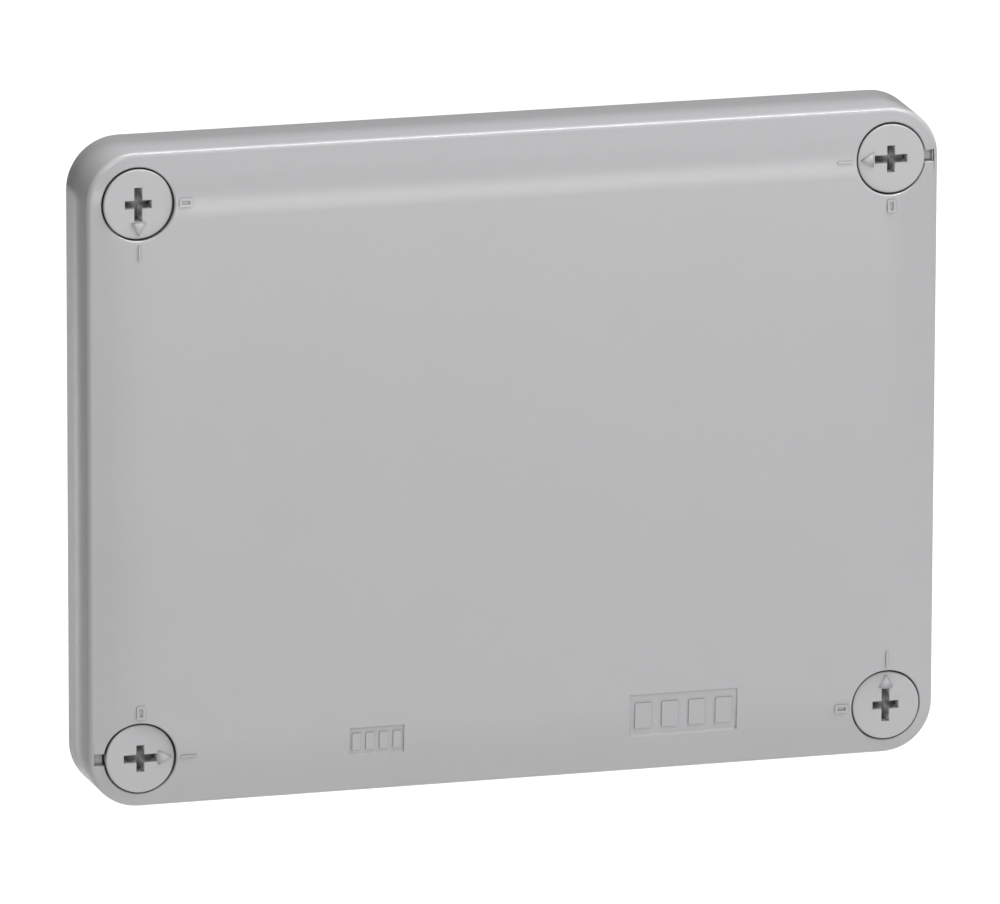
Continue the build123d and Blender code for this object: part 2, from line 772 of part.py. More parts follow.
terminal_first = -terminal_pitch * (terminal_count - 1) / 2
for index in range(terminal_count):
    number = index + 1
    terminal_x = terminal_first + index * terminal_pitch
    make_housing(f"terminal_housing_{number}", terminal_x)
    make_bar(f"terminal_bar_{number}", terminal_x)
    for place, place_z in (("upper", clamp_z), ("lower", -clamp_z)):
        make_clamp_screw(f"clamp_screw_{number}_{place}", terminal_x, place_z)
        make_cage(f"clamp_cage_{number}_{place}", terminal_x, place_z)

with BuildPart() as marker_tags:
    with BuildSketch(at_height(terminal_front - tag_deep)):
        with GridLocations(terminal_pitch, 0, terminal_count, 1):
            Rectangle(tag_wide, tag_long)
    extrude(amount=tag_deep + tag_proud)
finish(marker_tags, "marker_tags")


# End plate beside the last block, and the two end stops -----------------------------------
def make_rail_block(node, x, thick, half_long, front):
    """Plain block of this thickness that hooks onto the rail."""
    with BuildPart() as block:
        with BuildSketch(upright.offset(x)):
            make_face(rail_clip_outline(half_long, front).edges())
        extrude(amount=thick / 2, both=True)
        fillet(block.faces().sort_by(Axis.Y)[0].edges().filter_by(Axis.Z), radius=min(thick / 4, block_round))
    finish(block, node)


plate_x = terminal_first + (terminal_count - 0.5) * terminal_pitch + plate_thick / 2
left_stop_x = terminal_first - terminal_pitch / 2 - stop_wide / 2 - slip
right_stop_x = plate_x + plate_thick / 2 + stop_wide / 2 + slip
make_rail_block("terminal_end_plate", plate_x, plate_thick, terminal_half, terminal_front)
make_rail_block("end_stop_left", left_stop_x, stop_wide, stop_half, stop_front)
make_rail_block("end_stop_right", right_stop_x, stop_wide, stop_half, stop_front)
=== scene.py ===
"""A wall-mounted junction box: a crowned lid with quarter-turn screws over a tub with cable entries."""

import json
from math import asin, cos, degrees, hypot, radians, sin, sqrt, tan

import bmesh
import bpy
import numpy as np
from mathutils import Matrix, Vector
from mathutils.geometry import delaunay_2d_cdt


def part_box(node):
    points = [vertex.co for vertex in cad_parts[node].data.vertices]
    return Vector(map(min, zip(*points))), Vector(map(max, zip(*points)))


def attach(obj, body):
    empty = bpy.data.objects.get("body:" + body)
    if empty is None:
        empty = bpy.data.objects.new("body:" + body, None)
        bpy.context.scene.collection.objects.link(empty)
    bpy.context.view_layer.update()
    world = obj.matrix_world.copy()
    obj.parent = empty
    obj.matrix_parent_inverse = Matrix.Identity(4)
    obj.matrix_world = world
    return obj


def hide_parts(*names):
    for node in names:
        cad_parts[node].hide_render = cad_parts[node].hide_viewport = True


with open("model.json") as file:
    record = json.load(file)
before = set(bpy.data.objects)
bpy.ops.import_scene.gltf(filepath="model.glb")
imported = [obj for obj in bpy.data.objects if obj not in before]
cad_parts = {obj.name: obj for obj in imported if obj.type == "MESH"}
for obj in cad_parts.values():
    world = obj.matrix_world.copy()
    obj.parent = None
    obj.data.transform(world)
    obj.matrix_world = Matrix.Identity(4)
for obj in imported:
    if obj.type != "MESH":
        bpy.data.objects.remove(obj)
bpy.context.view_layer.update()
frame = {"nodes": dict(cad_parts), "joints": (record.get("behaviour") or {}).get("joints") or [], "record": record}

# Meshes are worked out in millimetres: x to the right, z up, and height in front of the
# wall, which is -y. They are written in metres.
MM = 0.001
SMOOTH_ANGLE = radians(35)
WELD = 2000  # points within about 1/2000 of a millimetre are one vertex


# ---------------------------------------------------------------------------------------
# Sizes
# ---------------------------------------------------------------------------------------
def node_box(node):
    """A CAD node's lowest and highest corner, in millimetres."""
    low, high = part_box(node)
    return low / MM, high / MM


lid_low, lid_high = node_box("lid")
HALF_WIDE = lid_high.x
HALF_HIGH = lid_high.z
CROWN = -lid_low.y
LID_BACK = -lid_high.y

SCREWS = {}
for joint in frame["joints"]:
    if joint["name"].endswith("_screw_turn"):
        place_x, _, place_z = joint["pos_m"]
        SCREWS[joint["child"]] = (place_x / MM, place_z / MM)
ARROWS = {
    "lid_screw_top_left": -90,
    "lid_screw_top_right": 180,
    "lid_screw_bottom_right": 90,
    "lid_screw_bottom_left": 0,
}

# Tub, as its outline's half width, half height and corner
TUB = (96.0, 69.5, 24.0)

# Lid
WALL = 3.0
CORNER = 13.3
DRAFT = radians(1.3)
RIM_FLAT = 5.5
RIM_CURVE = 12.0
RIM_SLOPE = radians(12)
RIM_RADIUS = RIM_CURVE / sin(RIM_SLOPE)
EDGE_FILLET = 1.4
SIDE_TOP = 62.0
FOOT = 0.3
FOOT_BEND = 0.1
FLOOR_RIM = 65.2
FLOOR_CENTRE = 67.0
FLOOR_STEP = 20.0
FLOOR_CORNER = 20.0
RIB = 1.2
RIB_INSETS = (-0.5, 3.5)
RIB_HEIGHT = 2.6
STIFFENERS = (-45.0, 0.0, 45.0)
STIFFENER_BACK = 65.0
COUNTERBORE = 9.2
COUNTERBORE_FLOOR = 63.6
BOSS = 11.5
BOSS_BACK = 61.2
BORE = 4.08
RIM_ROUND = 0.35
NOTCH_ROUND = 0.2
NOTCH_HALF = 1.5
NOTCH_DEEP_END = 11.4
NOTCH_SHELF_END = 12.15
NOTCH_FLOOR = 66.2
NOTCH_SHELF = 67.3
MARK_NEAR = 10.3
MARK_FAR = 14.3
MARK_HALF = 0.24
RING_FAR = 13.7
RING_HALF = 1.1
RING_CORNER = 0.5
RING_WIDE = 0.65
MARK_RAISE = 0.3
PANELS = [(-36.5, -70.7, 14.2, 7.4), (43.9, -69.2, 28.3, 11.1)]
PANEL_FRONT = 69.5
PANEL_TILT = tan(radians(3.6))
PANEL_BARS = 4
BAR_FILL = 0.6
BAR_RAISE = 0.25
SILL = 0.6

# Screws
HEAD = 8.88
HEAD_FRONT = 69.1
HEAD_BACK = 65.1
HEAD_ROUND = 0.4
HEAD_CHAMFER = 0.2
SHAFT = 4.0
SHAFT_STEP = 0.8  # depth of the tip's chamfer and of the clip's groove
SHAFT_BACK = 41.0
CLIP_GROOVE = (60.0, 60.7)
LUG = 5.3
LUG_HALF = 2.8
LUG_SUNK = 0.1  # how far a lug's root lies inside the shaft
LUG_BACK = 47.0
LUG_FRONT = 50.0
ARM_LONG = 4.3
ARM_SHORT = 3.45
ARM_HALF = 1.05
RECESS_TAPER = tan(radians(8))
RECESS_DEEP = 3.8
RECESS_END_DEEP = 2.6
ARROW_TIP = 8.0
ARROW_BACK = 4.6
ARROW_HALF = 1.9
ARROW_RAISE = 0.3
ARROW_STEEP = 2.5


# ---------------------------------------------------------------------------------------
# Mesh building
# ---------------------------------------------------------------------------------------
class Skin:
    """Faces with a normal at every corner. Points that coincide are welded."""

    def __init__(self):
        self.index = {}
        self.points = []
        self.faces = []
        self.normals = []

    def vertex(self, point):
        """The number of the vertex at a point (x, height, z)."""
        key = tuple(round(value * WELD) for value in point)
        if key not in self.index:
            self.index[key] = len(self.points)
            self.points.append((point[0] * MM, -point[1] * MM, point[2] * MM))
        return self.index[key]

    def face(self, points, normals):
        """Add a face. Each normal is (x, height, z), like the points. Repeated corners drop out."""
        corners = {}
        for point, normal in zip(points, normals):
            corners.setdefault(self.vertex(point), Vector((normal[0], -normal[1], normal[2])))
        if len(corners) > 2:
            self.faces.append(list(corners))
            self.normals.extend(normal.normalized() for normal in corners.values())

    def build(self, name, material):
        """Make the mesh object."""
        mesh = bpy.data.meshes.new(name)
        mesh.from_pydata(self.points, [], self.faces)
        mesh.polygons.foreach_set("use_smooth", [True] * len(mesh.polygons))
        mesh.normals_split_custom_set(self.normals)
        mesh.materials.append(material)
        return add(name, mesh)


def add(name, mesh):
    """Make an object of a mesh and put it in the scene."""
    piece = bpy.data.objects.new(name, mesh)
    bpy.context.scene.collection.objects.link(piece)
    return piece


def inside(outline, points):
    """Which of the points (n, 2) lie in the outline."""
    first = np.asarray(outline, float)
    second = np.roll(first, -1, axis=0)
    px, pz = points[:, :1], points[:, 1:]
    crosses = (first[:, 1] > pz) != (second[:, 1] > pz)
    rise = second[:, 1] - first[:, 1]
    rise[rise == 0] = 1
    at_x = first[:, 0] + (pz - first[:, 1]) * (second[:, 0] - first[:, 0]) / rise
    return (crosses & (px < at_x)).sum(axis=1) % 2 == 1


def slope_normal(height, x, z):
    """Normal (x, height, z) of a height function."""
    step = 0.004
    across = (height(x + step, z) - height(x - step, z)) / (2 * step)
    along = (height(x, z + step) - height(x, z - step)) / (2 * step)
    return Vector((-across, 1.0, -along)).normalized()


def terraces(skin, regions, spare_points=(), ground=None, flip=False):
    """A face cut into regions that each have a height, with walls where the height jumps.

    Each region is (outline, height function, filled). The first is the whole face, and later
    ones lie over earlier ones. ground is the height around the face, or None for no wall there.
    flip turns the faces over, for a face that is seen from behind.
    """
    coordinates = [Vector(point) for point in spare_points]
    edges = []
    for outline, _, _ in regions:
        first = len(coordinates)
        coordinates.extend(Vector(point) for point in outline)
        edges.extend((first + i, first + (i + 1) % len(outline)) for i in range(len(outline)))
    found, _, triangles, sources, _, _ = delaunay_2d_cdt(coordinates, edges, [], 0, 1e-5)
    exact = [
        tuple(coordinates[source[0]]) if source else tuple(point)
        for point, source in zip(found, sources)
    ]
    centres = np.array([[sum(exact[i][axis] for i in tri) / 3 for axis in (0, 1)] for tri in triangles])
    owner = np.where(inside(regions[0][0], centres), 0, -1)
    for number in range(1, len(regions)):
        owner[(owner >= 0) & inside(regions[number][0], centres)] = number
    heights = {}

    def height_at(region, vertex):
        if (region, vertex) not in heights:
            heights[region, vertex] = ground if region < 0 else regions[region][1](*exact[vertex])
        return heights[region, vertex]

    sides = {}
    for tri, region in zip(triangles, owner):
        (ax, az), (bx, bz), (cx, cz) = (exact[i] for i in tri)
        corners = list(tri)
        if (bx - ax) * (cz - az) - (bz - az) * (cx - ax) < 0:
            corners.reverse()
        for a, b in zip(corners, corners[1:] + corners[:1]):
            sides[a, b] = int(region)
        if region >= 0 and regions[region][2]:
            points = [(exact[i][0], height_at(region, i), exact[i][1]) for i in corners]
            normals = [slope_normal(regions[region][1], *exact[i]) for i in corners]
            if flip:
                points.reverse()
                normals = [-normal for normal in reversed(normals)]
            skin.face(points, normals)
    walls = []
    around = {}
    for (a, b), region in sides.items():
        other = sides.get((b, a), -1)
        if region <= other or (other < 0 and ground is None):
            continue
        (ax, az), (bx, bz) = exact[a], exact[b]
        fall = height_at(region, a) + height_at(region, b) - height_at(other, a) - height_at(other, b)
        facing = Vector((bz - az, ax - bx)).normalized() * (1 if (fall > 0) != flip else -1)
        walls.append((a, b, region, other, facing))
        around.setdefault(a, []).append(facing)
        around.setdefault(b, []).append(facing)
    for a, b, region, other, facing in walls:
        corners = [(other, a), (other, b), (region, b), (region, a)]
        points = [(exact[i][0], height_at(which, i), exact[i][1]) for which, i in corners]
        normals = []
        for _, i in corners:
            near = [side for side in around[i] if side.dot(facing) > cos(SMOOTH_ANGLE)]
            mean = sum(near, Vector((0, 0)))
            normals.append((mean.x, 0, mean.y))
        if flip:
            points.reverse()
            normals.reverse()
        skin.face(points, normals)


def rounded_rectangle(half_wide, half_high, radius, step=6.0, turns=14):
    """Points (x, z, outward x, outward z) round a rounded rectangle, anticlockwise."""
    points = []
    for quarter, (sx, sz) in enumerate(((1, 1), (-1, 1), (-1, -1), (1, -1))):
        for turn in range(turns + 1):
            angle = radians(90 * (quarter + turn / turns))
            out_x, out_z = cos(angle), sin(angle)
            centre_x, centre_z = sx * (half_wide - radius), sz * (half_high - radius)
            points.append((centre_x + radius * out_x, centre_z + radius * out_z, out_x, out_z))
        start_x, start_z, out_x, out_z = points[-1]
        length = 2 * ((half_high if quarter % 2 else half_wide) - radius)
        pieces = max(1, round(length / step))
        for piece in range(1, pieces):
            reach = length * piece / pieces
            points.append((start_x - out_z * reach, start_z + out_x * reach, out_x, out_z))
    return points


def moved_in(outline, inset):
    """Plain points of an outline, moved inwards."""
    return [(x - out_x * inset, z - out_z * inset) for x, z, out_x, out_z in outline]


def profile_normals(profile):
    """For each segment of a profile of (outward, height), the normals at its two ends."""
    flats = [Vector((h1 - h0, x0 - x1)).normalized() for (x0, h0), (x1, h1) in zip(profile, profile[1:])]
    ends = []
    for number, flat in enumerate(flats):
        pair = []
        for other in (number - 1, number + 1):
            near = 0 <= other < len(flats) and flats[other].dot(flat) > cos(SMOOTH_ANGLE)
            pair.append((flat + flats[other]).normalized() if near else flat)
        ends.append(pair)
    return ends


def sweep(skin, outline, profile):
    """Carry a profile of (inset, height) round an outline, from the inside edge to the outside."""
    ends = profile_normals([(-inset, height) for inset, height in profile])
    for (x0, z0, nx0, nz0), (x1, z1, nx1, nz1) in zip(outline, outline[1:] + outline[:1]):
        for (inset, height), (next_inset, next_height), (low, high) in zip(profile, profile[1:], ends):
            points = [
                (x0 - nx0 * inset, height, z0 - nz0 * inset),
                (x1 - nx1 * inset, height, z1 - nz1 * inset),
                (x1 - nx1 * next_inset, next_height, z1 - nz1 * next_inset),
                (x0 - nx0 * next_inset, next_height, z0 - nz0 * next_inset),
            ]
            normals = [
                (nx0 * low.x, low.y, nz0 * low.x),
                (nx1 * low.x, low.y, nz1 * low.x),
                (nx1 * high.x, high.y, nz1 * high.x),
                (nx0 * high.x, high.y, nz0 * high.x),
            ]
            skin.face(points, normals)


def arc(centre_x, centre_z, radius, start, end, turns):
    """Points on an arc, angles in degrees."""
    angles = [radians(start + (end - start) * turn / turns) for turn in range(turns + 1)]
    return [(centre_x + radius * cos(angle), centre_z + radius * sin(angle)) for angle in angles]


def circle(centre_x, centre_z, radius, count=96):
    """Points round a circle, anticlockwise."""
    return arc(centre_x, centre_z, radius, 0, 360, count)[:-1]


def round_outline(radius, count=96):
    """Points (x, z, outward x, outward z) round a circle about the origin."""
    return [(radius * x, radius * z, x, z) for x, z in circle(0, 0, 1, count)]


def rectangle(low_x, high_x, low_z, high_z):
    """A rectangle's corners, anticlockwise."""
    return [(low_x, low_z), (high_x, low_z), (high_x, high_z), (low_x, high_z)]


def placed(points, centre_x, centre_z, angle):
    """Points turned by an angle in degrees and moved to a centre."""
    turn_x, turn_z = cos(radians(angle)), sin(radians(angle))
    return [(centre_x + turn_x * x - turn_z * z, centre_z + turn_z * x + turn_x * z) for x, z in points]


def level(height):
    """A height function that is the same everywhere."""
    return lambda x, z: height


def lathe(skin, profile, count=96):
    """Turn a profile of (radius, height) round the origin, from the back's centre outwards."""
    outline = round_outline(1.0, count)
    ends = profile_normals(profile)
    for (x0, z0, _, _), (x1, z1, _, _) in zip(outline, outline[1:] + outline[:1]):
        for (radius, height), (next_radius, next_height), (low, high) in zip(profile, profile[1:], ends):
            points = [
                (x0 * radius, height, z0 * radius),
                (x1 * radius, height, z1 * radius),
                (x1 * next_radius, next_height, z1 * next_radius),
                (x0 * next_radius, next_height, z0 * next_radius),
            ]
            normals = [
                (x0 * low.x, low.y, z0 * low.x),
                (x1 * low.x, low.y, z1 * low.x),
                (x1 * high.x, high.y, z1 * high.x),
                (x0 * high.x, high.y, z0 * high.x),
            ]
            skin.face(points, normals)


def softened(profile, radius):
    """A profile with its inner corners rounded."""
    points = [profile[0]]
    for before, corner, after in zip(profile, profile[1:], profile[2:]):
        before, corner, after = Vector(before), Vector(corner), Vector(after)
        cut = min(radius, 0.45 * (corner - before).length, 0.45 * (after - corner).length)
        start = corner + (before - corner).normalized() * cut
        end = corner + (after - corner).normalized() * cut
        for share in (0, 0.25, 0.5, 0.75, 1):
            bend = start * (1 - share) ** 2 + corner * 2 * share * (1 - share) + end * share**2
            points.append(tuple(bend))
    return points + [profile[-1]]


def rounded_copy(node, width, angle=25):
    """A finer mesh of a CAD node, with its edges rounded by width millimetres."""
    mesh = frame["nodes"][node].data.copy()
    shape = bmesh.new()
    shape.from_mesh(mesh)
    bmesh.ops.remove_doubles(shape, verts=shape.verts, dist=0.001 * MM)
    bmesh.ops.dissolve_limit(shape, angle_limit=radians(0.5), verts=shape.verts, edges=shape.edges)
    shape.to_mesh(mesh)
    shape.free()
    if "custom_normal" in mesh.attributes:
        mesh.attributes.remove(mesh.attributes["custom_normal"])
    piece = add(f"{node}_rounded", mesh)
    bevel = piece.modifiers.new("rounding", "BEVEL")
    bevel.width = width * MM
    bevel.segments = 2
    bevel.limit_method = "ANGLE"
    bevel.angle_limit = radians(angle)
    bevel.harden_normals = True
    bevel.use_clamp_overlap = True
    bpy.context.view_layer.update()
    made = bpy.data.meshes.new_from_object(piece.evaluated_get(bpy.context.evaluated_depsgraph_get()))
    piece.modifiers.clear()
    piece.data = made
    return piece


# ---------------------------------------------------------------------------------------
# Materials
# ---------------------------------------------------------------------------------------
BUMP_DEPTH = 0.1 * MM
CLOUD_SCALE = 35
WAVE_SCALE = 90
GLOSS_SPREAD = 8
NOISE_LOW, NOISE_HIGH = 0.3, 0.7
# Range and samples of the ambient occlusion that paints shade into crevices.
AO_DARK, AO_CLEAR = 0.35, 0.95
AO_SAMPLES = 8


def surface(
    name,
    colour,
    roughness,
    *,
    metal=0.0,
    mottle=0.03,
    grain=6000,
    relief=0.02,
    wave=0,
    painted_shade=0.35,
    reach=1.0,
):
    """A material with clouded colour, uneven gloss, a fine moulded or rolled grain and painted shade in crevices.

    mottle is how far the colour wanders, grain the texture's fineness per metre, relief its
    depth as a bump strength, wave the strength of a slow unevenness like a moulding's skin,
    and painted_shade how much the colour is darkened as painted shade in crevices of up to reach millimetres.
    """
    material = bpy.data.materials.new(name)
    material.use_nodes = True
    nodes, links = material.node_tree.nodes, material.node_tree.links
    nodes.clear()
    output = nodes.new("ShaderNodeOutputMaterial")
    shader = nodes.new("ShaderNodeBsdfPrincipled")
    place = nodes.new("ShaderNodeTexCoord")
    links.new(shader.outputs["BSDF"], output.inputs["Surface"])

    def noise(scale, detail):
        node = nodes.new("ShaderNodeTexNoise")
        node.inputs["Scale"].default_value = scale
        node.inputs["Detail"].default_value = detail
        links.new(place.outputs["Object"], node.inputs["Vector"])
        return node.outputs["Fac"]

    def ramp(source, low, high):
        node = nodes.new("ShaderNodeMapRange")
        node.inputs["From Min"].default_value = NOISE_LOW
        node.inputs["From Max"].default_value = NOISE_HIGH
        node.inputs["To Min"].default_value = low
        node.inputs["To Max"].default_value = high
        links.new(source, node.inputs["Value"])
        return node.outputs["Result"]

    clouds = noise(CLOUD_SCALE, 3)
    mix = nodes.new("ShaderNodeMix")
    mix.data_type = "RGBA"
    mix.inputs["A"].default_value = (*(value * (1 - mottle) for value in colour), 1)
    mix.inputs["B"].default_value = (*(min(1, value * (1 + mottle)) for value in colour), 1)
    links.new(ramp(clouds, 0, 1), mix.inputs["Factor"])
    # Painted shade: the colour is darkened where the ambient occlusion node finds crevices, standing in for the
    # shade that falls in them.
    crevice = nodes.new("ShaderNodeAmbientOcclusion")
    crevice.samples = AO_SAMPLES
    crevice.inputs["Distance"].default_value = reach * MM
    shade_ramp = nodes.new("ShaderNodeMapRange")
    shade_ramp.inputs["From Min"].default_value = AO_DARK
    shade_ramp.inputs["From Max"].default_value = AO_CLEAR
    shade_ramp.inputs["To Min"].default_value = 1 - painted_shade
    shade_ramp.inputs["To Max"].default_value = 1.0
    links.new(crevice.outputs["AO"], shade_ramp.inputs["Value"])
    darker = nodes.new("ShaderNodeVectorMath")
    darker.operation = "SCALE"
    links.new(mix.outputs["Result"], darker.inputs["Vector"])
    links.new(shade_ramp.outputs["Result"], darker.inputs["Scale"])
    links.new(darker.outputs["Vector"], shader.inputs["Base Color"])
    gloss = ramp(noise(grain / GLOSS_SPREAD, 4), roughness * 0.9, min(1, roughness * 1.1))
    links.new(gloss, shader.inputs["Roughness"])
    shader.inputs["Metallic"].default_value = metal
    fine = nodes.new("ShaderNodeBump")
    fine.inputs["Strength"].default_value = relief
    fine.inputs["Distance"].default_value = BUMP_DEPTH
    links.new(noise(grain, 2), fine.inputs["Height"])
    if wave:
        slow = nodes.new("ShaderNodeBump")
        slow.inputs["Strength"].default_value = wave
        slow.inputs["Distance"].default_value = BUMP_DEPTH
        links.new(noise(WAVE_SCALE, 1), slow.inputs["Height"])
        links.new(slow.outputs["Normal"], fine.inputs["Normal"])
    links.new(fine.outputs["Normal"], shader.inputs["Normal"])
    return material


LID_GREY = (0.542, 0.542, 0.554)
SCREW_GREY = (0.56, 0.56, 0.572)
# Every material paints shade into its crevices. The lid and the screws get more, and the screws over a wider
# reach, so that their driver recesses look deep.
MATERIALS = {
    "lid_plastic": surface(
        "lid_plastic", LID_GREY, 0.19, mottle=0.006, relief=0.006, wave=0.01, painted_shade=0.5, reach=0.8
    ),
    "base_plastic": surface("base_plastic", (0.53, 0.53, 0.54), 0.5, mottle=0.01, relief=0.12),
    "screw_plastic": surface(
        "screw_plastic", SCREW_GREY, 0.24, mottle=0.006, relief=0.006, wave=0.01, painted_shade=0.85, reach=2.6
    ),
    "seal_rubber": surface("seal_rubber", (0.035, 0.035, 0.038), 0.6, mottle=0.08, relief=0.15),
    "grommet_rubber": surface("grommet_rubber", (0.36, 0.365, 0.37), 0.62, mottle=0.03, relief=0.15),
    "spring_steel": surface("spring_steel", (0.5, 0.5, 0.51), 0.28, metal=1.0, mottle=0.06, relief=0.05),
    "zinc_steel": surface(
        "zinc_steel", (0.62, 0.64, 0.67), 0.36, metal=1.0, mottle=0.08, grain=2500, relief=0.06
    ),
    "bar_brass": surface("bar_brass", (0.76, 0.55, 0.22), 0.3, metal=1.0, mottle=0.07, relief=0.05),
    "terminal_grey": surface("terminal_grey", (0.4, 0.4, 0.39), 0.5, mottle=0.02, relief=0.1),
    "terminal_blue": surface("terminal_blue", (0.04, 0.16, 0.42), 0.48, mottle=0.03, relief=0.1),
    "terminal_green": surface("terminal_green", (0.08, 0.34, 0.09), 0.48, mottle=0.03, relief=0.1),
    "tag_plastic": surface("tag_plastic", (0.82, 0.82, 0.8), 0.45, mottle=0.015, relief=0.06),
}
SLOTS = {part["node"]: part["material_slot"] for part in frame["record"]["subparts"]}
BODIES = {node: body for body, nodes in frame["record"]["behaviour"]["bodies"].items() for node in nodes}


def stand_for(piece, node):
    """Let a finished piece ride on a node's body and show in its place."""
    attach(piece, BODIES[node])
    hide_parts(node)


for node, shown in frame["nodes"].items():
    shown.data.materials.clear()
    shown.data.materials.append(MATERIALS[SLOTS[node]])


# ---------------------------------------------------------------------------------------
# Lid
# ---------------------------------------------------------------------------------------
LID_OUTLINE = rounded_rectangle(HALF_WIDE, HALF_HIGH, CORNER)
TUB_OUTLINE = rounded_rectangle(*TUB)
SLOPE_START = CROWN - RIM_RADIUS * (1 - cos(RIM_SLOPE))


def inset_at(x, z):
    """Distance in from the lid's outline."""
    in_x, in_z = HALF_WIDE - abs(x), HALF_HIGH - abs(z)
    if in_x < CORNER and in_z < CORNER:
        return CORNER - hypot(CORNER - in_x, CORNER - in_z)
    return min(in_x, in_z)


def crown(x, z):
    """Height of the lid's front: flat centre, curved shoulder, straight slope to the edge."""
    inset = inset_at(x, z)
    if inset >= RIM_FLAT + RIM_CURVE:
        return CROWN
    if inset >= RIM_FLAT:
        return CROWN - RIM_RADIUS + sqrt(RIM_RADIUS**2 - (RIM_FLAT + RIM_CURVE - inset) ** 2)
    return SLOPE_START - (RIM_FLAT - inset) * tan(RIM_SLOPE)


def edge_profile():
    """The edge from the skirt's inside round its foot, up the drafted side and over the fillet."""
    # The fillet's centre is one radius inside both the side and the slope.
    side = Vector((-cos(DRAFT), sin(DRAFT)))
    slope = Vector((-sin(RIM_SLOPE), cos(RIM_SLOPE)))
    towards = Matrix((side, slope))
    reach = Vector((side.dot((0, LID_BACK)), slope.dot((RIM_FLAT, SLOPE_START))))
    reach -= Vector((1, 1)) * EDGE_FILLET
    centre_inset, centre_height = towards.inverted() @ reach
    fillet = arc(centre_inset, centre_height, EDGE_FILLET, 180 - degrees(DRAFT), 90 + degrees(RIM_SLOPE), 10)
    return [
        (WALL, LID_BACK + FOOT),
        (WALL - FOOT_BEND, LID_BACK + FOOT_BEND),
        (WALL - FOOT, LID_BACK),
        (FOOT, LID_BACK),
        (FOOT_BEND, LID_BACK + FOOT_BEND),
        (0, LID_BACK + FOOT),
        (tan(DRAFT) * (SIDE_TOP - LID_BACK), SIDE_TOP),
        *fillet,
    ]


EDGE = edge_profile()
EDGE_INSET = EDGE[-1][0]
NOTCHES = [("lid_screw_bottom_left", -1), ("lid_screw_top_right", 1)]


def notch_box(name, outward, start, end, widen=0.0):
    """A seal notch's rectangle, from start to end out from its screw."""
    x, z = SCREWS[name]
    low_x, high_x = sorted((x + outward * start, x + outward * end))
    return low_x, high_x, z - NOTCH_HALF - widen, z + NOTCH_HALF + widen


NOTCH_BOXES = [notch_box(name, outward, 0, NOTCH_SHELF_END) for name, outward in NOTCHES]


def front(x, z):
    """Height of the lid's front, with the rims of its counterbores and notches rounded over."""
    drop = 0.0
    for screw_x, screw_z in SCREWS.values():
        away = max(0, hypot(x - screw_x, z - screw_z) - COUNTERBORE)
        if away < RIM_ROUND:
            drop = max(drop, RIM_ROUND * (1 - away / RIM_ROUND) ** 2)
    for low_x, high_x, low_z, high_z in NOTCH_BOXES:
        away = hypot(max(low_x - x, x - high_x, 0), max(low_z - z, z - high_z, 0))
        if away < NOTCH_ROUND:
            drop = max(drop, NOTCH_ROUND * (1 - away / NOTCH_ROUND) ** 2)
    return crown(x, z) - drop


def front_points():
    """Free points that let the front's mesh follow its curves."""
    points = []
    for inset in (3.6, RIM_FLAT, 7.5, 9.5, 11.5):
        points += moved_in(LID_OUTLINE, inset)
    for inset in (13.5, 15.5, RIM_FLAT + RIM_CURVE):
        wide, high = HALF_WIDE - inset, HALF_HIGH - inset
        for x in np.linspace(-wide, wide, 32):
            points += [(x, -high), (x, high)]
        for z in np.linspace(-high, high, 24)[1:-1]:
            points += [(-wide, z), (wide, z)]
    for x, z in SCREWS.values():
        for share in (0.25, 0.5, 0.75, 1):
            points += circle(x, z, COUNTERBORE + share * RIM_ROUND)
        points += circle(x, z, COUNTERBORE + 1.2, 48)
    for low_x, high_x, low_z, high_z in NOTCH_BOXES:
        for away in (NOTCH_ROUND / 2, NOTCH_ROUND):
            for x in np.linspace(low_x, high_x, 24):
                points += [(x, low_z - away), (x, high_z + away)]
    return points


